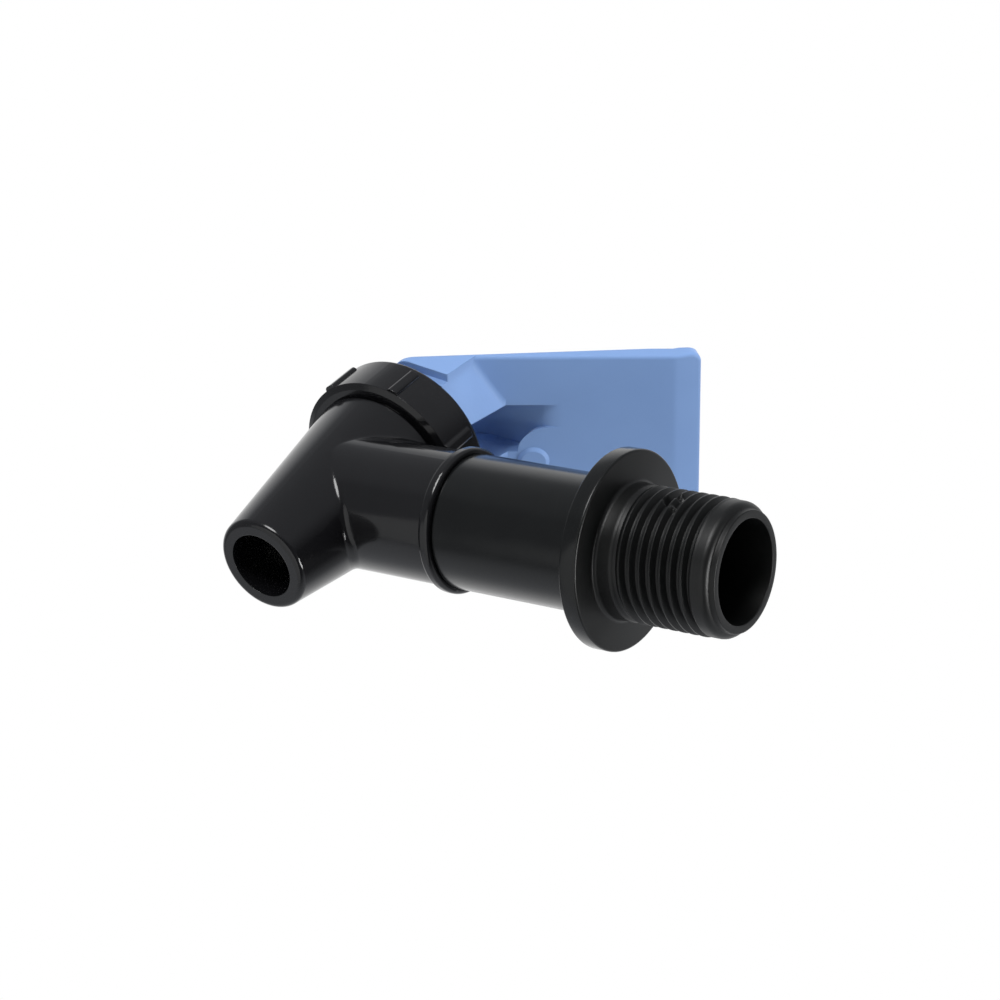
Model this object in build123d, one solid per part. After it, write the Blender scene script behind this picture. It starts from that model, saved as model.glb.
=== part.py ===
from build123d import *
import math
import os

os.makedirs("parts", exist_ok=True)

# Part frame in mm: origin on the flange's panel face, +Y along the thread into the panel, +Z up

# Shank: barrel, flange and threaded end in one moulding
thread_r = 9.45
thread_end = 15.2
shoulder_len = 1.8
shoulder_round = 1.0
ring_len = 0.9
ring_drop = 1.09
shank_wall = 2.23
barrel_r = 9.69
barrel_start = -26.5
flange_r = 13.97
flange_t = 2.63
flange_edge = 0.3
shoulder_end = thread_end + shoulder_len
shank_end = shoulder_end + ring_len
inlet_r = thread_r - shank_wall

# Spigot that joins the shank to the body
spigot_step = 0.78
spigot_gap = 0.05
seam_gap = 0.1
spigot_len = 8.0
spigot_wall = 2.8
spigot_r = inlet_r + spigot_step
spigot_bore_r = spigot_r - spigot_wall

# Body: cone spout, side arm with a bead, neck under the bonnet
arm_len = 23.2
bead_rise = 0.81
bead_w = 1.8
bead_edge = 0.6
outlet_z = -19.44
spout_in = 2.62
outlet_wall = 2.05
lip_edge = 0.9
arm_blend = 1.2
crown_gap = 0.06
cone_over = 1.87
neck_ledge = 0.56
neck_groove = 0.55
neck_wall = 3.7
neck_h = 3.25
passage_in = 0.3
seat_drop = 0.3
arm_r = barrel_r
bead_r = arm_r + bead_rise
spout_y = barrel_start - arm_len
outlet_outer_r = arm_r - spout_in
outlet_bore_r = outlet_outer_r - outlet_wall
cone_top_z = arm_r + crown_gap
cone_top_r = arm_r + cone_over
neck_r = cone_top_r - neck_ledge
chamber_r = neck_r - neck_wall
neck_top_z = cone_top_z + neck_h
passage_r = spigot_bore_r - passage_in
seat_z = -passage_r - seat_drop

# Seat cup: soft sleeve with a clamped flange and a closed bottom
chamber_gap = 0.9
cup_wall = 0.8
cup_flare = 0.3
cup_bottom_t = 2.0
cup_flange_t = 1.2
cup_flange_gap = 0.4
cup_low_r = chamber_r - chamber_gap
cup_top_r = cup_low_r + cup_flare
cup_flange_r = neck_r - cup_flange_gap
ceiling_z = neck_top_z + cup_flange_t

# Return spring between the cup and the stem
cup_gap = 0.25
wire_r = 0.4
wire_sides = 8
coil_turns = 7
turn_steps = 16
end_gap = 0.05
coil_r = cup_low_r - cup_wall - cup_gap - wire_r

# Stem, running in the bonnet
coil_gap = 0.55
running_gap = 0.05
head_in = 0.6
foot_gap = 0.3
foot_t = 1.95
stub_r = 2.0
stub_len = 1.0
stem_r = coil_r - wire_r - coil_gap
head_r = stem_r - head_in
foot_r = cup_low_r - cup_wall - foot_gap

# Bonnet: ribbed cap over the neck, its top carries the lever
bonnet_gap = 0.15
bonnet_h = 7.7
bonnet_wall = 2.32
bonnet_fit = 0.08
bonnet_top_edge = 0.6
bonnet_low_in = 0.9
bonnet_low_rise = 0.4
rib_count = 7
rib_turn = 21.0
rib_rise = 0.5
rib_w = 1.9
rib_drop = 1.2
rib_round = 0.65
rib_top_cut = 0.3
rib_root = 1.0
bonnet_r = neck_r + bonnet_fit + bonnet_wall
bonnet_bottom_z = cone_top_z + bonnet_gap
bonnet_top_z = bonnet_bottom_z + bonnet_h
rib_out_r = bonnet_r + rib_rise
rib_top_z = bonnet_top_z - rib_drop

# Lever pivot: the heel lies on the bonnet and the cross pin goes through the stem
handle_turn = 10.0
heel_gap = 0.08
pin_r = 1.0
pin_rise = 3.8
pin_cover = 0.6
heel_z = bonnet_top_z + heel_gap
pin_z = heel_z + pin_rise

# Lever paddle, as distance along from the stem and height above the heel
half_w = 12.75
paddle_tilt = 30.5
paddle_t = 2.2
paddle_u = 6.8
paddle_rise = 7.32
lip_u = 32.4
lip_tilt = 48.0
lip_len = 4.15
lip_bend_r = 3.0
end_corner = 1.8
tail_len = 4.0
rim_rise = 3.46
rim_slope = 0.675
rim_bevel_in = 3.0
rim_round = 0.6
paddle_z = heel_z + paddle_rise
rim_z = heel_z + rim_rise

# Lever hub with a rocker toe: lift of the stem for each radian of press
rocker_k = 6.4
press_angle = math.radians(22.0)
toe_steps = 8
toe_front = 8.8
toe_blend = 1.5
fin_w = 1.25
fin_rise = 1.42
fin_front = 6.2
front_lean = 0.22
fin_lean = 0.11
hub_back = -3.5
hub_corner = 3.0
fin_z = heel_z + fin_rise

# Slot for the stem and the hump that covers it
slot_gap = 0.2
slot_back_gap = 1.5
slot_slope = 0.265
pocket_side = 0.2
runout_r = 6.0
runout_skim = 0.03
blend_reach = 11.9
head_room = 1.52
cheek_t = 3.8
hump_back_wall = 1.9
hump_wall = 2.6
hump_sink = 0.2
hump_edge = 0.8
slot_half = stem_r + slot_gap
land_r = slot_half + pocket_side
slot_back = -head_r - slot_back_gap
slot_floor_z = pin_z + head_r + head_room
hump_half = slot_half + cheek_t
hump_back = slot_back - hump_back_wall
pin_half = hump_half - pin_cover

# Round mark beside the slot
mark_u = 14.35
mark_w = 5.8
mark_r = 2.4
mark_rise = 0.5
mark_side = 0.5
near = 0.1

# Solids stand on their placed point
standing = (Align.CENTER, Align.CENTER, Align.MIN)


# A solid turned about a vertical axis through the spout from points of radius and height
def turned(points, edges=()):
    face = make_face(Polyline(*[(r, z) for r, z in points], close=True))
    for point, size in edges:
        corner = face.vertices().sort_by_distance((point[0], point[1], 0))[0]
        face = fillet(corner, size)
    solid = revolve(Plane.XZ * face, Axis.Z)
    return Pos(0, spout_y, 0) * solid


# A round bar along Y between two stations
def bar(radius, start, stop):
    return Pos(0, start, 0) * Rot(-90, 0, 0) * Cylinder(radius, stop - start, align=standing)


# Body
cone_slope = (cone_top_r - outlet_outer_r) / (cone_top_z - outlet_z)
tall_r = outlet_outer_r + cone_slope * (neck_top_z - outlet_z)
cone = turned(
    [(0, outlet_z), (outlet_outer_r, outlet_z), (tall_r, neck_top_z), (0, neck_top_z)],
    [((outlet_outer_r, outlet_z), lip_edge)])
arm_end = barrel_start - seam_gap
arm = bar(arm_r, spout_y, arm_end)
joined = cone + arm
crease = new_edges(cone, arm, combined=joined)
body = fillet(crease, arm_blend)
bead = bar(bead_r, arm_end - bead_w, arm_end)
bead = fillet(bead.edges().filter_by(GeomType.CIRCLE), bead_edge)
body = body + bead
clear_r = 3 * neck_r
body = body - turned(
    [(neck_r, neck_top_z), (neck_r, cone_top_z), (neck_r + neck_groove, cone_top_z - neck_groove),
     (neck_r + 2 * neck_groove, cone_top_z), (clear_r, cone_top_z), (clear_r, neck_top_z)])
chamber = Pos(0, spout_y, seat_z) * Cylinder(
    chamber_r, neck_top_z - seat_z, align=standing)
outlet = Pos(0, spout_y, outlet_z) * Cylinder(
    outlet_bore_r, seat_z - outlet_z, align=standing)
spigot_end = barrel_start - spigot_len
socket = bar(spigot_r + spigot_gap, spigot_end - seam_gap, arm_end)
passage = bar(passage_r, spout_y + outlet_bore_r, arm_end)
body = body - chamber - outlet - socket - passage

# Shank
barrel = bar(barrel_r, barrel_start, -flange_t)
flange = bar(flange_r, -flange_t, 0)
flange = chamfer(flange.edges().filter_by(GeomType.CIRCLE), flange_edge)
threaded = bar(thread_r, 0, shoulder_end)
threaded = fillet(threaded.edges().filter_by(GeomType.CIRCLE).sort_by(Axis.Y)[-1], shoulder_round)
ring = bar(thread_r - ring_drop, thread_end, shank_end)
spigot = bar(spigot_r, spigot_end, barrel_start)
shank = barrel + flange + threaded + ring + spigot
shank = shank - bar(inlet_r, barrel_start, shank_end) - bar(spigot_bore_r, spigot_end, barrel_start)

# Bonnet
bonnet = turned(
    [(stem_r + running_gap, ceiling_z), (neck_r + bonnet_fit, ceiling_z),
     (neck_r + bonnet_fit, bonnet_bottom_z), (bonnet_r - bonnet_low_in, bonnet_bottom_z),
     (bonnet_r, bonnet_bottom_z + bonnet_low_rise), (bonnet_r, bonnet_top_z),
     (stem_r + running_gap, bonnet_top_z)],
    [((bonnet_r, bonnet_top_z), bonnet_top_edge)])
rib_low_z = bonnet_bottom_z + bonnet_low_rise
rib_box = Pos((bonnet_r + rib_out_r - rib_root) / 2, 0, rib_low_z) * Box(
    rib_out_r - bonnet_r + rib_root, rib_w, rib_top_z - rib_low_z, align=standing)
rib_outer = rib_box.edges().filter_by(Axis.Z).sort_by(Axis.X)[-2:]
rib = fillet(rib_outer, rib_round)
rib = chamfer(rib.faces().sort_by(Axis.Z)[-1].edges().sort_by(Axis.X)[-1], rib_top_cut)
for step in range(rib_count):
    bonnet = bonnet + Pos(0, spout_y, 0) * Rot(0, 0, rib_turn + 360 / rib_count * step) * rib

# Seat cup
cup_bottom_z = seat_z
cup_inside_z = cup_bottom_z + cup_bottom_t
seat_cup = turned(
    [(0, cup_bottom_z), (cup_low_r, cup_bottom_z), (cup_low_r, cup_inside_z), (cup_top_r, neck_top_z),
     (cup_flange_r, neck_top_z), (cup_flange_r, ceiling_z), (cup_top_r - cup_wall, ceiling_z),
     (cup_low_r - cup_wall, cup_inside_z), (stub_r + running_gap, cup_inside_z),
     (stub_r + running_gap, cup_inside_z - stub_len), (0, cup_inside_z - stub_len)])

# Lever placement: local X across, local Y along the paddle, local Z up
placed = Pos(0, spout_y, 0) * Rot(0, 0, handle_turn)

# Stem
foot_z = cup_inside_z
stem = Pos(0, 0, foot_z) * Cylinder(stem_r, pin_z + head_r - foot_z, align=standing)
crown = extrude(Plane.YZ * (Pos(0, pin_z) * Circle(head_r)), amount=stem_r, both=True)
shoulder = Pos(0, 0, foot_z) * Box(
    2 * stem_r, 2 * head_r, pin_z - foot_z, align=standing)
lower = Pos(0, 0, foot_z) * Cylinder(stem_r, bonnet_top_z - foot_z, align=standing)
stem = (stem & (crown + shoulder)) + lower
stem = stem + Pos(0, 0, foot_z) * Cylinder(foot_r, foot_t, align=standing)
stem = stem + Pos(0, 0, foot_z - stub_len) * Cylinder(stub_r, stub_len, align=standing)
pin_hole = Pos(0, 0, pin_z) * Rot(0, 90, 0) * Cylinder(pin_r + running_gap, 4 * stem_r)
stem = placed * (stem - pin_hole)

# Spring
spring_low = foot_z + foot_t + end_gap + wire_r
spring_top = ceiling_z - end_gap - wire_r
coil_height = spring_top - spring_low
coil_path = Helix(coil_height / coil_turns, coil_height, coil_r)
coil_steps = coil_turns * turn_steps
wire_cuts = []
for step in range(coil_steps + 1):
    share = step / coil_steps
    station = Plane(origin=coil_path @ share, x_dir=(0, 0, 1), z_dir=coil_path % share)
    wire_cuts.append(station * RegularPolygon(wire_r, wire_sides))
spring = Pos(0, spout_y, spring_low) * loft(wire_cuts, ruled=True)

# Lever paddle: side profile with an upturned lip, points as distance along and height
along = (math.cos(math.radians(paddle_tilt)), math.sin(math.radians(paddle_tilt)))
lip_along = (math.cos(math.radians(lip_tilt)), math.sin(math.radians(lip_tilt)))
under_slope = along[1] / along[0]


def under_z(u):
    return paddle_z + (u - paddle_u) * under_slope


def above(point, direction, t):
    return (point[0] - direction[1] * t, point[1] + direction[0] * t)


lip_start = (lip_u, under_z(lip_u))
lip_end = (lip_u + lip_len * lip_along[0], lip_start[1] + lip_len * lip_along[1])
tail_u = fin_front - tail_len
tail = (tail_u, under_z(tail_u))
bend = math.radians((paddle_tilt + lip_tilt) / 2)
half_bend = math.radians((lip_tilt - paddle_tilt) / 2)
mid = (math.cos(bend), math.sin(bend))
bend_top = above(lip_start, mid, paddle_t / math.cos(half_bend))
paddle_profile = Polyline(
    tail, lip_start, lip_end, above(lip_end, lip_along, paddle_t), bend_top,
    above(tail, along, paddle_t), close=True)
paddle = extrude(Plane.YZ * make_face(paddle_profile), amount=half_w, both=True)
end_edges = paddle.faces().sort_by(Axis.Y)[-1].edges().filter_by(Axis.X, reverse=True)
paddle = fillet(end_edges, end_corner)
bend_edges = paddle.edges().filter_by(Axis.X).sort_by_distance((0, lip_start[0], lip_start[1]))[:1]
paddle = fillet(bend_edges, lip_bend_r)


# Lever hub: plan outline at one height, the front wall leaning out as it rises
def hub_outline(height):
    rise = height - heel_z
    fin_u = fin_front + fin_lean * rise
    right = [(slot_half, toe_front + front_lean * rise), (half_w - fin_w, fin_u), (half_w, fin_u)]
    front = Line(right[0], right[1])
    back = [(half_w, hub_back + hub_corner), (half_w - hub_corner, hub_back)]
    corner = RadiusArc(back[0], back[1], hub_corner)
    half = [front, Line(right[1], right[2]), Line(right[2], back[0]), corner]
    other = [mirror(edge, about=Plane.YZ) for edge in half]
    middle = [Line(right[0], (-slot_half, right[0][1])), Line(back[1], (-back[1][0], hub_back))]
    return Pos(0, 0, height) * make_face(Curve() + half + other + middle)


hub_top_z = under_z(toe_front) + paddle_t
far = 2 * half_w
hub = loft([hub_outline(heel_z), hub_outline(hub_top_z)])
paddle_height = paddle_t / along[0]
far_back = hub_back - hub_corner
far_front = lip_u
below_top = extrude(
    Plane.YZ * make_face(Polyline(
        (far_back, 0), (far_back, under_z(far_back) + paddle_height),
        (far_front, under_z(far_front) + paddle_height), (far_front, 0), close=True)), amount=far, both=True)
hub = hub & below_top
for side in (-1, 1):
    hub = hub - Pos(side * half_w, 0, 0) * Box(
        2 * fin_w, far, fin_z, align=standing)

# Lever hump over the slot, seen only from above, its front end sunk in the paddle
def floor_z(u):
    return slot_floor_z + slot_slope * u


hump_over = floor_z(0) + hump_wall - under_z(0) - paddle_height
hump_front = (hump_over + hump_sink) / (under_slope - slot_slope)
hump_low = under_z(hump_front) + paddle_height / 4
hump_profile = Polyline(
    (hump_back, heel_z), (rocker_k, heel_z), (rocker_k, under_z(rocker_k)), (hump_front, hump_low),
    (hump_front, floor_z(hump_front) + hump_wall), (hump_back, floor_z(hump_back) + hump_wall), close=True)
hump = extrude(Plane.YZ * make_face(hump_profile), amount=hump_half, both=True)
hump_corners = hump.faces().sort_by(Axis.Y)[0].edges().filter_by(Axis.Z)
hump = fillet(hump_corners, hub_corner)
hump_top = hump.faces().sort_by(SortBy.AREA)[-1]
hump = fillet(hump_top.edges(), hump_edge)

handle = paddle + hub
crease = [
    edge for edge in handle.edges()
    if toe_front < edge.center().Y < blend_reach and abs(edge.center().X) > slot_half
    and abs(edge.center().Z - under_z(edge.center().Y)) < near]
handle = fillet(crease, toe_blend)
rim_edges = [
    edge for edge in handle.edges()
    if abs(abs(edge.center().X) - half_w) < near and blend_reach < edge.center().Y < lip_u
    and abs(edge.center().Z - under_z(edge.center().Y)) < near]
handle = fillet(rim_edges, rim_round)
handle = handle + hump

# Side bevels that thin the paddle's rim towards the hub
for side in (-1, 1):
    rim_a = Vector(side * half_w, 0, rim_z)
    rim_b = Vector(side * half_w, lip_u, rim_z + rim_slope * lip_u)
    rim_c = Vector(side * (half_w - rim_bevel_in), 0, under_z(0) + paddle_height)
    normal = (rim_b - rim_a).cross(rim_c - rim_a).normalized()
    if normal.Z < 0:
        normal = normal * -1
    cutter = Plane(origin=rim_a, x_dir=rim_b - rim_a, z_dir=normal) * Box(
        4 * far, half_w, half_w, align=standing)
    keep = Pos(0, 0, pin_z) * Box(2 * hump_half, 4 * far, 4 * far)
    handle = handle - (cutter - keep)

# Slot for the stem, open below between the cheeks, its ceiling running out in the paddle on one side
pocket_end = (slot_floor_z - under_z(0)) / (under_slope - slot_slope)
ramp_out = pocket_end + land_r
slot_outline = [
    Line((-slot_half, pocket_end - land_r), (-slot_half, slot_back)),
    Line((-slot_half, slot_back), (slot_half, slot_back)),
    Line((slot_half, slot_back), (slot_half, ramp_out)),
    Line((slot_half, ramp_out), (pocket_side, ramp_out)),
    Line((pocket_side, ramp_out), (pocket_side, pocket_end)),
    CenterArc((-slot_half, pocket_end), land_r, 0, -90)]
slot_plan = make_face(Curve() + slot_outline)
slot_profile = make_face(Polyline(
    (slot_back, 0), (ramp_out, 0), (ramp_out, under_z(ramp_out) - runout_skim),
    (pocket_end, under_z(pocket_end) - runout_skim), (slot_back, floor_z(slot_back)), close=True))
ramp_turn = slot_profile.vertices().sort_by_distance((pocket_end, under_z(pocket_end), 0))[0]
slot_profile = fillet(ramp_turn, runout_r)
slot = extrude(slot_plan, amount=under_z(ramp_out))
slot = slot & extrude(Plane.YZ * slot_profile, amount=far, both=True)
handle = handle - slot

# Round mark on the paddle's underside beside the slot
mark = Cone(mark_r - mark_side, mark_r + mark_side, 2 * mark_rise)
handle = handle + Pos(-mark_w, mark_u, under_z(mark_u)) * Rot(paddle_tilt, 0, 0) * mark

# Rocker toe: its height above the pin grows evenly with the press angle
toe = []
for step in range(toe_steps + 1):
    angle = press_angle * step / toe_steps
    reach = pin_rise + rocker_k * angle
    toe.append((rocker_k * math.cos(angle) + reach * math.sin(angle),
                pin_z + rocker_k * math.sin(angle) - reach * math.cos(angle)))
toe_exit = (toe[-1][0] + hub_corner, toe[-1][1] + hub_corner * math.tan(press_angle))
toe_face = make_face(Curve() + [
    Spline(*toe), Line(toe[-1], toe_exit), Line(toe_exit, (toe_exit[0], 0)),
    Line((toe_exit[0], 0), (rocker_k, 0)), Line((rocker_k, 0), toe[0])])
handle = handle - extrude(Plane.YZ * toe_face, amount=far, both=True)

# Pin hole, blind on the side that shows and open on the other
handle = handle - Pos(pin_half, 0, pin_z) * Rot(0, -90, 0) * Cylinder(
    pin_r, 2 * half_w, align=standing)
handle = placed * handle
handle_pin = placed * (Pos(0, 0, pin_z) * Rot(0, 90, 0) * Cylinder(pin_r, 2 * pin_half))

nodes = {
    "body": body, "shank": shank, "bonnet": bonnet, "seat_cup": seat_cup, "stem": stem, "spring": spring,
    "handle": handle, "handle_pin": handle_pin}
for name, shape in nodes.items():
    export_step(shape, f"parts/{name}.step")
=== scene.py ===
import math

import bmesh
import bpy
from mathutils import Matrix, Vector


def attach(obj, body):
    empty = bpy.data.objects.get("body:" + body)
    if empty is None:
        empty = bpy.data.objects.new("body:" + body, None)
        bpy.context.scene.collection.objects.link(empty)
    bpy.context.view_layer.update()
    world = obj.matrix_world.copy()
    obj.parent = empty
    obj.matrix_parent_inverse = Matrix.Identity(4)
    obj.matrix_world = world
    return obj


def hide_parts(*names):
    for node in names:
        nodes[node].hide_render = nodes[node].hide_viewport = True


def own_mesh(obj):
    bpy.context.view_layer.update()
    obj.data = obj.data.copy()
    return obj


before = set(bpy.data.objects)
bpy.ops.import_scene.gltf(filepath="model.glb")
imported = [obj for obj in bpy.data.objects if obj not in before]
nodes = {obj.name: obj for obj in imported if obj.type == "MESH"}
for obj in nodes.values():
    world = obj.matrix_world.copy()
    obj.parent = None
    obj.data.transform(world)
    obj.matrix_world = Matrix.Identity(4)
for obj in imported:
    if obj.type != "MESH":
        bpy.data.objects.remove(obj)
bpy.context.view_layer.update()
MM = 0.001

# Sizes of the moulding in mm, in the part's frame: +Y along the thread, +Z up
BARREL_R = 9.69
BARREL_START = -26.5
FLANGE_R = 13.97
FLANGE_T = 2.63
SPIGOT_R = 8.0
SPIGOT_LEN = 8.0
SPIGOT_BORE_R = 5.2
INLET_R = 7.22
THREAD_R = 9.45
THREAD_PITCH = 1.5875
THREAD_DEPTH = 0.8
THREAD_FIRST = 1.9
THREAD_LAST = 15.0
THREAD_RISE = 2.6
THREAD_FALL = 0.9
NOSE_R = 9.32
NOSE_TAPER_Y = 14.083
SHOULDER_R = 9.3
SHOULDER_Y = 17.0
LIP_R = 8.36
LIP_Y = 17.12
SHANK_END = 17.9
SPOUT_Y = -49.7

# Cup, stem foot and spring inside the body
CUP_LOW_R = 6.4
CUP_TOP_R = 6.7
CUP_FLANGE_R = 10.6
CUP_WALL = 0.8
CUP_PEG_R = 2.05
CUP_PEG_DEPTH = 1.0
SEAT_Z = -5.2
CUP_INSIDE_Z = -3.2
FOOT_Z = -1.25
NECK_TOP_Z = 13.0
CEILING_Z = 14.2
COIL_R = 4.95
WIRE_R = 0.4
COIL_TURNS = 7
CLOSED_TURN = 0.6
END_GAP = 0.05

# Points closer than this are welded, and shorter slivers dissolved, in mm
WELD = 0.002
SLIVER = 0.001


# Soft step from 0 to 1 between two values
def ease(value, low, high):
    share = min(1.0, max(0.0, (value - low) / (high - low)))
    return share * share * (3 - 2 * share)


# Hex colour as painters write it, to the linear values that the shaders use
def linear(hex_colour):
    values = []
    for start in (1, 3, 5):
        c = int(hex_colour[start:start + 2], 16) / 255
        values.append(c / 12.92 if c <= 0.04045 else ((c + 0.055) / 1.055) ** 2.4)
    return (*values, 1.0)


# Adds a node with its settings, its fixed input values and the links into it
def add(tree, kind, settings=None, values=None, links=None):
    node = tree.nodes.new(kind)
    for name, value in (settings or {}).items():
        setattr(node, name, value)
    for name, value in (values or {}).items():
        node.inputs[name].default_value = value
    for name, socket in (links or {}).items():
        tree.links.new(socket, node.inputs[name])
    return node


# A material with an empty tree, its position in metres and its output
def start_material(name):
    material = bpy.data.materials.new(name)
    material.use_nodes = True
    tree = material.node_tree
    tree.nodes.clear()
    place = add(tree, "ShaderNodeTexCoord").outputs["Object"]
    end = add(tree, "ShaderNodeOutputMaterial")
    return material, tree, place, end


# Pattern scale from a size in millimetres
def per_mm(size):
    return 1 / (size * MM)


# Noise seldom leaves this range
NOISE_LOW = 0.3
NOISE_HIGH = 0.7

# Where a moulding turns dull along its length: over how many mm, how much rougher, and how black the painted
# shade there is
DULL_AND_SHADE_OVER = 0.8
DULL_ROUGHER = 0.24
PAINTED_SHADE_BLACK = "#070808"


# Moulded plastic: a faint mottle in the colour, gloss that varies in soft patches, and a skin
# that is not quite flat; it can turn duller past a station along the thread, and blacker there with painted
# shade
def moulded_plastic(name, dark, light, rough, mottle_mm, skin_mm, skin_height, edge_mm,
                    gloss=0.5, sheen=0.0, dull_and_shade_from=None):
    material, tree, place, end = start_material(name)
    mottle = add(tree, "ShaderNodeTexNoise", values={"Scale": per_mm(mottle_mm), "Detail": 3.0},
                 links={"Vector": place})
    colour = add(tree, "ShaderNodeMix", {"data_type": "RGBA"}, links={0: mottle.outputs["Fac"]})
    colour.inputs[6].default_value = linear(dark)
    colour.inputs[7].default_value = linear(light)
    haze = add(tree, "ShaderNodeMapRange",
               values={"From Min": NOISE_LOW, "From Max": NOISE_HIGH, "To Min": rough[0], "To Max": rough[1]},
               links={"Value": mottle.outputs["Fac"]})
    tint = colour.outputs[2]
    roughness = haze.outputs["Result"]
    if dull_and_shade_from is not None:
        along = add(tree, "ShaderNodeSeparateXYZ", links={0: place}).outputs["Y"]
        dull_and_shade = add(tree, "ShaderNodeMapRange",
                   values={"From Min": dull_and_shade_from * MM, "From Max": (dull_and_shade_from + DULL_AND_SHADE_OVER) * MM},
                   links={"Value": along}).outputs["Result"]
        # Painted shade: past the station the colour blends to a deeper black, while the roughness rises for
        # the duller skin
        deep = add(tree, "ShaderNodeMix", {"data_type": "RGBA"}, links={0: dull_and_shade, 6: tint})
        deep.inputs[7].default_value = linear(PAINTED_SHADE_BLACK)
        tint = deep.outputs[2]
        roughness = add(tree, "ShaderNodeMath", {"operation": "MULTIPLY_ADD"}, {1: DULL_ROUGHER},
                        {0: dull_and_shade, 2: roughness}).outputs[0]
    skin = add(tree, "ShaderNodeTexNoise", values={"Scale": per_mm(skin_mm), "Detail": 2.0},
               links={"Vector": place})
    edge = add(tree, "ShaderNodeBevel", {"samples": 8}, values={"Radius": edge_mm * MM})
    bump = add(tree, "ShaderNodeBump", values={"Strength": 1.0, "Distance": skin_height * MM},
               links={"Height": skin.outputs["Fac"], "Normal": edge.outputs["Normal"]})
    shader = add(tree, "ShaderNodeBsdfPrincipled",
                 values={"Specular IOR Level": gloss, "Sheen Weight": sheen},
                 links={"Base Color": tint, "Roughness": roughness, "Normal": bump.outputs["Normal"]})
    tree.links.new(shader.outputs["BSDF"], end.inputs["Surface"])
    return material


# Glossy black ABS from a polished mould: deep black with a mirror-like skin
glossy_abs = moulded_plastic("black_abs_polished_mould", "#0f0f11", "#151517", (0.10, 0.16),
                             9.0, 5.0, 0.010, 0.12)
# Black ABS from a plainer mould: the same black under a duller skin, dullest on the thread, where painted
# shade makes it blacker
dull_abs_with_shade = moulded_plastic("black_abs_plain_mould_and_thread_shade", "#0c0d0e", "#111313", (0.15, 0.21),
                           5.0, 0.8, 0.002, 0.10, gloss=0.4, dull_and_shade_from=-0.6)
# Blue polypropylene from a sandblasted mould: even satin colour, soft broad highlights
satin_blue = moulded_plastic("blue_polypropylene_satin", "#7b9fd6", "#82a6dc", (0.56, 0.66),
                             7.0, 0.35, 0.010, 0.18, sheen=0.25)
# White acetal: hard, slightly waxy, hidden under the lever
white_acetal = moulded_plastic("white_acetal_moulded", "#dcdcd6", "#e6e6e0", (0.35, 0.45),
                               6.0, 0.5, 0.006, 0.12)
# Silicone rubber: milky, soft to the eye, no sharp highlight
silicone = moulded_plastic("milky_silicone_moulded", "#b9b7b0", "#c4c2bb", (0.60, 0.75),
                           4.0, 0.4, 0.008, 0.15, gloss=0.35)


# Drawn steel: a bright grey metal with fine uneven marks of the die, which blur its highlight
def drawn_steel(name, tint, rough, mark_mm, mark_height):
    material, tree, place, end = start_material(name)
    marks = add(tree, "ShaderNodeTexNoise", values={"Scale": per_mm(mark_mm), "Detail": 4.0},
                links={"Vector": place})
    haze = add(tree, "ShaderNodeMapRange",
               values={"From Min": NOISE_LOW, "From Max": NOISE_HIGH, "To Min": rough[0], "To Max": rough[1]},
               links={"Value": marks.outputs["Fac"]})
    bump = add(tree, "ShaderNodeBump", values={"Strength": 0.6, "Distance": mark_height * MM},
               links={"Height": marks.outputs["Fac"]})
    shader = add(tree, "ShaderNodeBsdfPrincipled",
                 values={"Base Color": linear(tint), "Metallic": 1.0},
                 links={"Roughness": haze.outputs["Result"], "Normal": bump.outputs["Normal"]})
    tree.links.new(shader.outputs["BSDF"], end.inputs["Surface"])
    return material


# Stainless steel of the spring wire and the pin: drawn, half bright
steel = drawn_steel("stainless_steel_drawn", "#c9c9cc", (0.22, 0.38), 0.3, 0.004)


# Closes seams of doubled points, turns all faces outwards, keeps sharp edges sharp and sets the material
def clean(mesh, material, sharp_angle):
    work = bmesh.new()
    work.from_mesh(mesh)
    bmesh.ops.remove_doubles(work, verts=work.verts, dist=WELD * MM)
    bmesh.ops.dissolve_degenerate(work, edges=work.edges, dist=SLIVER * MM)
    bmesh.ops.recalc_face_normals(work, faces=work.faces)
    for face in work.faces:
        face.smooth = True
        face.material_index = 0
    for edge in work.edges:
        edge.smooth = len(edge.link_faces) == 2 and edge.calc_face_angle() < math.radians(sharp_angle)
    work.to_mesh(mesh)
    work.free()
    mesh.materials.clear()
    mesh.materials.append(material)


# A mesh object from vertices in mm and faces
def new_piece(name, points, faces, material, sharp_angle=32.0):
    mesh = bpy.data.meshes.new(name)
    mesh.from_pydata([(x * MM, y * MM, z * MM) for x, y, z in points], [], faces)
    clean(mesh, material, sharp_angle)
    piece = bpy.data.objects.new(name, mesh)
    bpy.context.scene.collection.objects.link(piece)
    return piece


# Rounds the corners of a profile that goes round once, points as (across, along, radius)
def rounded(profile, steps=5):
    result = []
    count = len(profile)
    for i, (x, y, radius) in enumerate(profile):
        here = Vector((x, y))
        if radius <= 0:
            result.append(here)
            continue
        before = (Vector(profile[i - 1][:2]) - here).normalized()
        after = (Vector(profile[(i + 1) % count][:2]) - here).normalized()
        half = before.angle(after) / 2
        reach = radius / math.tan(half)
        middle = here + (before + after).normalized() * (radius / math.sin(half))
        first = here + before * reach - middle
        turn = first.angle_signed(here + after * reach - middle)
        for step in range(steps + 1):
            angle = -turn * step / steps
            c, s = math.cos(angle), math.sin(angle)
            result.append(middle + Vector((first.x * c - first.y * s, first.x * s + first.y * c)))
    return result


# Half widths of the screw's crest and root as shares of one pitch
SCREW_CREST = 0.07
SCREW_ROOT = 0.10


# Height of the screw profile at a share of one pitch: flat crest, straight flanks, flat root
def screw_height(share):
    foot = 0.5 - SCREW_ROOT
    off = abs(share - round(share))
    if off <= SCREW_CREST:
        return 1.0
    if off >= foot:
        return 0.0
    return (foot - off) / (foot - SCREW_CREST)


# Shares of one pitch at which the screw's skin has points
SCREW_STATIONS = (0.0, 0.07, 0.14, 0.24, 0.34, 0.40, 0.45, 0.50, 0.55, 0.60, 0.66, 0.76, 0.86, 0.93)


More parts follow.
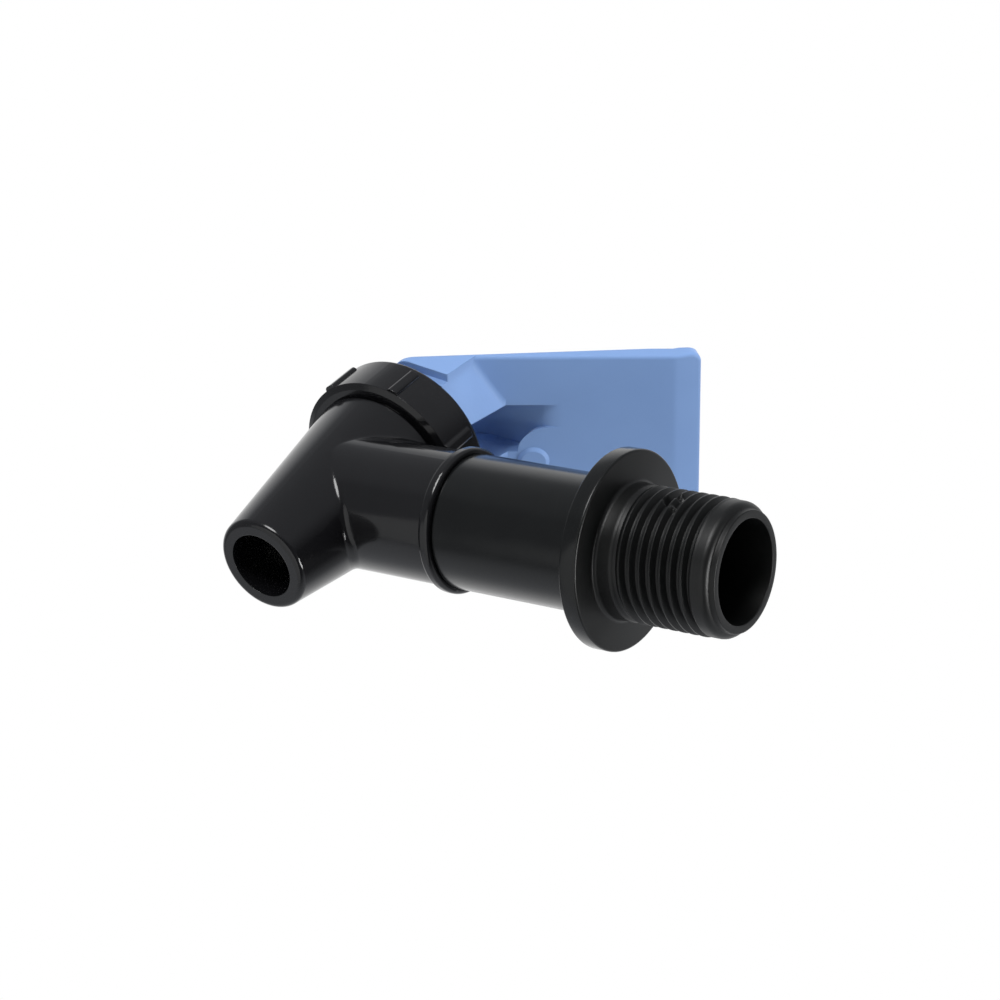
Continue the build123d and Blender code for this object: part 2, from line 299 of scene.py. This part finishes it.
# How much of the full thread depth there is at a station: it runs out at both ends
def runout(y):
    return ease(y - THREAD_FIRST, 0.0, THREAD_RISE) * ease(THREAD_LAST - y, 0.0, THREAD_FALL)


# Marks of the mould's gate on the thread: angle in degrees, station, half size and height in mm
GATE_MARKS = ((1.5, 7.3, 0.85, -0.75), (8.5, 8.25, 0.75, -0.75), (-8.0, 8.9, 0.55, 0.5))


# Change of radius at a point of the thread, from the pits and the pip of the gate
def gate_height(angle, y):
    total = 0.0
    for degrees, station, half, height in GATE_MARKS:
        turn = (angle - math.radians(degrees) + math.pi) % (2 * math.pi) - math.pi
        away = math.hypot(turn * THREAD_R, y - station) / half
        total += height * ease(1.0 - away * away, 0.0, 1.0)
    return total


# Outside of the shank as radius and station, without the thread
neck_side = rounded([
    (SPIGOT_BORE_R, BARREL_START - SPIGOT_LEN, 0), (SPIGOT_R, BARREL_START - SPIGOT_LEN, 0.3),
    (SPIGOT_R, BARREL_START, 0), (BARREL_R, BARREL_START, 0.2),
    (BARREL_R, -FLANGE_T, 0.5), (FLANGE_R, -FLANGE_T, 0.3),
    (FLANGE_R, 0, 0.3), (THREAD_R, 0, 0.6), (THREAD_R, THREAD_FIRST, 0)])
nose_side = rounded([
    (NOSE_R, THREAD_LAST, 0), (SHOULDER_R, SHOULDER_Y, 1.1), (LIP_R, LIP_Y, 0.16), (LIP_R, SHANK_END, 0.15),
    (INLET_R, SHANK_END, 0.12), (INLET_R, BARREL_START, 0), (SPIGOT_BORE_R, BARREL_START, 0.2)])


# Threaded shank: turned shapes at both ends and a helical skin between them
def build_shank():
    around = 240
    points, faces = [], []

    def ring(radius, station):
        first = len(points)
        for i in range(around):
            angle = 2 * math.pi * i / around
            points.append((radius * math.cos(angle), station, radius * math.sin(angle)))
        return first

    def skin(low, high):
        for i in range(around):
            j = (i + 1) % around
            faces.append((low + i, low + j, high + j, high + i))

    rings = [ring(p.x, p.y) for p in neck_side]
    for low, high in zip(rings, rings[1:]):
        skin(low, high)
    nose = [ring(p.x, p.y) for p in nose_side]
    for low, high in zip(nose, nose[1:]):
        skin(low, high)
    skin(nose[-1], rings[0])

    turns = int((THREAD_LAST - THREAD_FIRST) / THREAD_PITCH) + 3
    stations = [turn + share for turn in range(-1, turns) for share in SCREW_STATIONS]
    rows = []
    for i in range(around + 1):
        angle = 2 * math.pi * i / around
        row = []
        for station in stations:
            y = THREAD_FIRST + THREAD_PITCH * (station - i / around)
            held = min(THREAD_LAST, max(THREAD_FIRST, y))
            deep = runout(held) * THREAD_DEPTH * (1 - screw_height(station % 1.0))
            taper = max(0.0, (held - NOSE_TAPER_Y) / (THREAD_LAST - NOSE_TAPER_Y))
            skin_r = THREAD_R - (THREAD_R - NOSE_R) * taper
            radius = min(THREAD_R, skin_r - deep + gate_height(angle, held))
            row.append(len(points))
            points.append((radius * math.cos(angle), held, radius * math.sin(angle)))
        rows.append(row)
    for i in range(around):
        for k in range(len(stations) - 1):
            faces.append((rows[i][k], rows[i + 1][k], rows[i + 1][k + 1], rows[i][k + 1]))
    return new_piece("shank_threaded", points, faces, dull_abs_with_shade)


shank = build_shank()
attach(shank, "body")
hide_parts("shank")


# Return spring as a round wire on a helix, with a closed part of a turn at both ends
def build_spring():
    low = FOOT_Z + END_GAP + WIRE_R
    high = CEILING_Z - END_GAP - WIRE_R
    steps = COIL_TURNS * 40
    sides = 12
    points, faces = [], []
    for step in range(steps + 1):
        share = step / steps
        angle = 2 * math.pi * COIL_TURNS * share
        rise = (share * COIL_TURNS - CLOSED_TURN) / (COIL_TURNS - 2 * CLOSED_TURN)
        z = low + (high - low) * min(1.0, max(0.0, rise))
        for side in range(sides):
            turn = 2 * math.pi * side / sides
            r = COIL_R + WIRE_R * math.cos(turn)
            points.append((r * math.cos(angle), SPOUT_Y + r * math.sin(angle), z + WIRE_R * math.sin(turn)))
    for step in range(steps):
        for side in range(sides):
            here = step * sides + side
            beside = step * sides + (side + 1) % sides
            faces.append((here, beside, beside + sides, here + sides))
    faces.append(tuple(range(sides - 1, -1, -1)))
    faces.append(tuple(steps * sides + side for side in range(sides)))
    return new_piece("return_spring", points, faces, steel, 60.0)


spring = build_spring()
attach(spring, "spring")
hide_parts("spring")

# Profile of the cup: soft sleeve with a clamped flange, a closed bottom and rounded corners
cup_side = rounded([
    (0.0, SEAT_Z, 0), (CUP_LOW_R, SEAT_Z, 0.5), (CUP_LOW_R, CUP_INSIDE_Z, 0), (CUP_TOP_R, NECK_TOP_Z, 0.3),
    (CUP_FLANGE_R, NECK_TOP_Z, 0.3), (CUP_FLANGE_R, CEILING_Z, 0.3), (CUP_TOP_R - CUP_WALL, CEILING_Z, 0.3),
    (CUP_LOW_R - CUP_WALL, CUP_INSIDE_Z, 0.3), (CUP_PEG_R, CUP_INSIDE_Z, 0),
    (CUP_PEG_R, CUP_INSIDE_Z - CUP_PEG_DEPTH, 0), (0.0, CUP_INSIDE_Z - CUP_PEG_DEPTH, 0)])


# Seat cup: its profile turned about the spout's axis
def build_cup():
    around = 96
    points, faces = [], []
    for p in cup_side:
        for i in range(around):
            angle = 2 * math.pi * i / around
            points.append((p.x * math.cos(angle), SPOUT_Y + p.x * math.sin(angle), p.y))
    for k in range(len(cup_side) - 1):
        for i in range(around):
            j = (i + 1) % around
            faces.append((k * around + i, k * around + j, (k + 1) * around + j, (k + 1) * around + i))
    return new_piece("seat_cup_soft", points, faces, silicone)


cup = build_cup()
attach(cup, "body")
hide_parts("seat_cup")

# The sleeve and the spring shorten towards the bonnet's ceiling as the stem lifts; here each only gets a mesh
# of its own
for piece, low in ((spring, FOOT_Z), (cup, SEAT_Z)):
    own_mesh(piece)

# Lever sizes in mm, across, along and up from the stem's axis: the paddle's underside, the slot in it,
# the hollow that the slot's ceiling runs out in, and how far and over which spans the free end is drawn out
LEVER_TURN = math.radians(10.0)
PADDLE_TILT = math.radians(30.5)
PADDLE_U = 6.8
PADDLE_Z = 25.0
SLOT_HALF = 4.17
SLOT_SLOPE = 0.265
HOLLOW_BACK = 2.0
HOLLOW_FROM = 6.6
HOLLOW_END = 16.68
HOLLOW_SIDE = 0.23
HOLLOW_SLOPE = 0.52
HOLLOW_FADE = 1.6
END_LONGER = 0.4
LONGER_SPAN = (18.0, 26.0)
END_WIDER = 1.6
WIDER_SPAN = (14.0, 30.0)
FAR_SPAN = (5.0, 11.0)

# Room around the hollow that its cutting shapes take in, and the steps of their curves
CUT_FLOOR = 10.0
CUT_LOW = 15.0
CUT_HIGH = 40.0
CUT_HALF = 9.0
CUT_PAST = 2.0
ARC_STEPS = 24
FADE_STEPS = 16


# A point of the lever in the part's frame
def on_lever(across, along, up):
    c, s = math.cos(LEVER_TURN), math.sin(LEVER_TURN)
    return (across * c - along * s, SPOUT_Y + across * s + along * c, up)


# An upright or a lying prism as a cutting shape, from matching corners at its two ends
def prism(name, first, second):
    count = len(first)
    faces = [tuple(range(count)), tuple(range(2 * count - 1, count - 1, -1))]
    faces += [(i, i + count, (i + 1) % count + count, (i + 1) % count) for i in range(count)]
    return new_piece(name, [on_lever(*point) for point in first + second], faces, satin_blue)


# Cuts a piece by another or keeps what lies inside it, and removes the other
def cut(piece, other, operation):
    step = piece.modifiers.new("cut", "BOOLEAN")
    step.operation = operation
    step.solver = "EXACT"
    step.object = other
    bpy.context.view_layer.update()
    shaped = piece.evaluated_get(bpy.context.evaluated_depsgraph_get())
    result = bpy.data.meshes.new_from_object(shaped)
    piece.modifiers.clear()
    piece.data = result
    bpy.data.objects.remove(other)


# Height of the paddle's underside
def under(along):
    return PADDLE_Z + (along - PADDLE_U) * math.tan(PADDLE_TILT)


# Hollow in the slot's run-out: it fades into the paddle at its end and stays between the slot's walls
def build_hollow():
    past = HOLLOW_END + CUT_PAST
    plan = [(SLOT_HALF, HOLLOW_BACK), (SLOT_HALF, past), (HOLLOW_SIDE, past)]
    reach = SLOT_HALF + HOLLOW_SIDE
    for step in range(ARC_STEPS + 1):
        angle = -math.pi / 2 * step / ARC_STEPS
        plan.append((-SLOT_HALF + reach * math.cos(angle), HOLLOW_END + reach * math.sin(angle)))
    plan.append((-SLOT_HALF, HOLLOW_BACK))
    side = [(HOLLOW_BACK, CUT_LOW), (HOLLOW_END + HOLLOW_FADE, CUT_LOW)]
    for step in range(FADE_STEPS + 1):
        away = 2 * HOLLOW_FADE * step / FADE_STEPS
        along = HOLLOW_END + HOLLOW_FADE - away
        side.append((along, under(along) + HOLLOW_SLOPE * away * away / (4 * HOLLOW_FADE)))
    top = under(HOLLOW_FROM) + HOLLOW_SLOPE * (HOLLOW_END - HOLLOW_FROM)
    side += [(HOLLOW_FROM, top), (HOLLOW_BACK, top - SLOT_SLOPE * (HOLLOW_FROM - HOLLOW_BACK))]
    walls = prism("hollow_walls", [(w, u, CUT_FLOOR) for w, u in plan], [(w, u, CUT_HIGH) for w, u in plan])
    roof = prism("hollow_roof", [(-CUT_HALF, u, z) for u, z in side], [(CUT_HALF, u, z) for u, z in side])
    cut(walls, roof, "INTERSECT")
    return walls


# A point of the lever with the paddle's free end drawn out: a little longer, and wider on the far side
def drawn_out(x, y, z):
    c, s = math.cos(LEVER_TURN), math.sin(LEVER_TURN)
    across = x * c + (y - SPOUT_Y) * s
    along = (y - SPOUT_Y) * c - x * s
    longer = END_LONGER * ease(along, *LONGER_SPAN)
    wider = END_WIDER * ease(along, *WIDER_SPAN) * ease(-across, *FAR_SPAN)
    return on_lever(across - wider, along + longer * math.cos(PADDLE_TILT),
                    z + longer * math.sin(PADDLE_TILT))


# Lever: the moulding with its free end drawn out and its slot's run-out hollowed deeper
def build_lever():
    mesh = nodes["handle"].data
    points = [drawn_out(*(v.co / MM)) for v in mesh.vertices]
    faces = [tuple(face.vertices) for face in mesh.polygons]
    lever = new_piece("lever_moulded", points, faces, satin_blue)
    cut(lever, build_hollow(), "DIFFERENCE")
    clean(lever.data, satin_blue, 28.0)
    return lever


lever = build_lever()
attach(lever, "handle")
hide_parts("handle")

# Finishes of the moulded parts that keep their own shape
for node, material in (("body", glossy_abs), ("bonnet", glossy_abs), ("stem", white_acetal),
                       ("handle_pin", steel)):
    mesh = nodes[node].data
    mesh.materials.clear()
    mesh.materials.append(material)

# Camera at the photograph's angle, below and in front of the panel side
LENS = 97.5
CAMERA_AT = Vector((187.891, 186.492, -255.297)) * MM
RIGHT = Vector((-0.1736, 0.8220, 0.5423)).normalized()
UP = Vector((0.8559, -0.1464, 0.4959))
UP = (UP - RIGHT * UP.dot(RIGHT)).normalized()
BACK = RIGHT.cross(UP)
camera_data = bpy.data.cameras.new("camera")
camera_data.lens = LENS
camera_data.sensor_width = 36
camera_data.clip_start = 0.01
camera_data.clip_end = 20
camera = bpy.data.objects.new("camera", camera_data)
camera.matrix_world = Matrix.Translation(CAMERA_AT) @ Matrix((RIGHT, UP, BACK)).transposed().to_4x4()
bpy.context.scene.collection.objects.link(camera)
bpy.context.scene.camera = camera

# Soft lamps, placed by image right, image up and towards the camera, in metres: a key from the thread's side,
# one from above the camera for the rims and the mark, and one from the upper right that no gloss shows
AIM = Vector((0, -0.025, 0.01))


def soft_lamp(name, right, up, back, size, power):
    data = bpy.data.lights.new(name, "AREA")
    data.shape = "DISK"
    data.size = size
    data.energy = power
    lamp = bpy.data.objects.new(name, data)
    lamp.visible_camera = False
    way = RIGHT * right + UP * up + BACK * back
    lamp.location = AIM + way
    lamp.rotation_euler = way.to_track_quat("Z", "Y").to_euler()
    bpy.context.scene.collection.objects.link(lamp)
    return lamp


soft_lamp("key_lamp", 0.875, -0.259, 0.408, 0.45, 6.8)
soft_lamp("top_lamp", -0.229, 0.743, 0.629, 0.5, 6.4)
edge = soft_lamp("edge_lamp", 0.423, 0.906, 0.0, 0.4, 3.2)
edge.visible_glossy = False

# World: a studio with a white sweep behind and below, a grey ceiling, a grey wall and a dark room in front,
# and plain white where the camera, a see-through surface or a reflection looks past the tap
world = bpy.data.worlds.new("studio")
bpy.context.scene.world = world
world.use_nodes = True
sky = world.node_tree
sky.nodes.clear()
look = add(sky, "ShaderNodeTexCoord").outputs["Generated"]

# Zones of the studio: direction, where it starts and is full, and its level there; the rest is dim
ROOM_LEVEL = 0.08
ZONES = {
    "sweep": (-BACK, 0.2, 0.75, 0.72),
    "table": (-UP, 0.3, 0.65, 0.62),
    "table_end": (-BACK, -0.6, 0.1, 1.0),
    "ceiling": (UP, 0.1, 0.7, 0.36),
    "wall": (-RIGHT, 0.2, 0.9, 0.28),
    "past": (-BACK, 0.45, 0.9, 1.0),
}
zone = {}
for name, (way, low, high, level) in ZONES.items():
    dot = add(sky, "ShaderNodeVectorMath", {"operation": "DOT_PRODUCT"}, {1: way}, {0: look})
    part = add(sky, "ShaderNodeMapRange", {"interpolation_type": "SMOOTHSTEP"},
               {"From Min": low, "From Max": high, "To Min": 0.0, "To Max": level},
               {"Value": dot.outputs["Value"]})
    zone[name] = part.outputs["Result"]
table = add(sky, "ShaderNodeMath", {"operation": "MULTIPLY"}, links={0: zone["table"], 1: zone["table_end"]})
room = add(sky, "ShaderNodeMath", {"operation": "MAXIMUM"}, {1: ROOM_LEVEL}, {0: table.outputs[0]})
for name in ("sweep", "ceiling", "wall"):
    room = add(sky, "ShaderNodeMath", {"operation": "MAXIMUM"}, links={0: room.outputs[0], 1: zone[name]})
path = add(sky, "ShaderNodeLightPath")
seen = add(sky, "ShaderNodeMath", {"operation": "MULTIPLY"},
           links={0: path.outputs["Is Glossy Ray"], 1: zone["past"]})
for ray in ("Is Camera Ray", "Is Transmission Ray"):
    seen = add(sky, "ShaderNodeMath", {"operation": "MAXIMUM"},
               links={0: seen.outputs[0], 1: path.outputs[ray]})
studio = add(sky, "ShaderNodeBackground", values={"Color": linear("#f6f9ff")},
             links={"Strength": room.outputs[0]})
white = add(sky, "ShaderNodeBackground", values={"Color": (1, 1, 1, 1), "Strength": 1.0})
mixed = add(sky, "ShaderNodeMixShader",
            links={0: seen.outputs[0], 1: studio.outputs[0], 2: white.outputs[0]})
add(sky, "ShaderNodeOutputWorld", links={"Surface": mixed.outputs[0]})

# Pale floor below the tap, fading into the white at its edge
FLOOR_R = 0.35
FLOOR_PLAIN_R = 0.1
FLOOR_WHITE_R = 0.32
FLOOR_Z = -0.42
FLOOR_SIDES = 64
floor_mesh = bpy.data.meshes.new("floor")
floor_ring = []
for i in range(FLOOR_SIDES):
    angle = 2 * math.pi * i / FLOOR_SIDES
    floor_ring.append((FLOOR_R * math.cos(angle), SPOUT_Y / 2 * MM + FLOOR_R * math.sin(angle), FLOOR_Z))
floor_mesh.from_pydata(floor_ring, [], [tuple(range(FLOOR_SIDES))])
floor = bpy.data.objects.new("floor", floor_mesh)
bpy.context.scene.collection.objects.link(floor)
floor_material, floor_tree, floor_place, floor_end = start_material("pale_floor")
floor_shader = add(floor_tree, "ShaderNodeBsdfDiffuse", values={"Color": linear("#e6e6e4")})
floor_white = add(floor_tree, "ShaderNodeEmission", values={"Color": (1, 1, 1, 1), "Strength": 1.0})
floor_far = add(floor_tree, "ShaderNodeVectorMath", {"operation": "LENGTH"}, links={0: floor_place})
floor_fade = add(floor_tree, "ShaderNodeMapRange", {"interpolation_type": "SMOOTHSTEP"},
                 {"From Min": math.hypot(FLOOR_PLAIN_R, FLOOR_Z),
                  "From Max": math.hypot(FLOOR_WHITE_R, FLOOR_Z)},
                 {"Value": floor_far.outputs["Value"]})
floor_path = add(floor_tree, "ShaderNodeLightPath")
floor_seen = add(floor_tree, "ShaderNodeMath", {"operation": "MULTIPLY"},
                 links={0: floor_path.outputs["Is Camera Ray"], 1: floor_fade.outputs["Result"]})
floor_mix = add(floor_tree, "ShaderNodeMixShader",
                links={0: floor_seen.outputs[0], 1: floor_shader.outputs[0], 2: floor_white.outputs[0]})
floor_tree.links.new(floor_mix.outputs[0], floor_end.inputs["Surface"])
floor_mesh.materials.append(floor_material)

bpy.context.scene.view_settings.view_transform = "Standard"
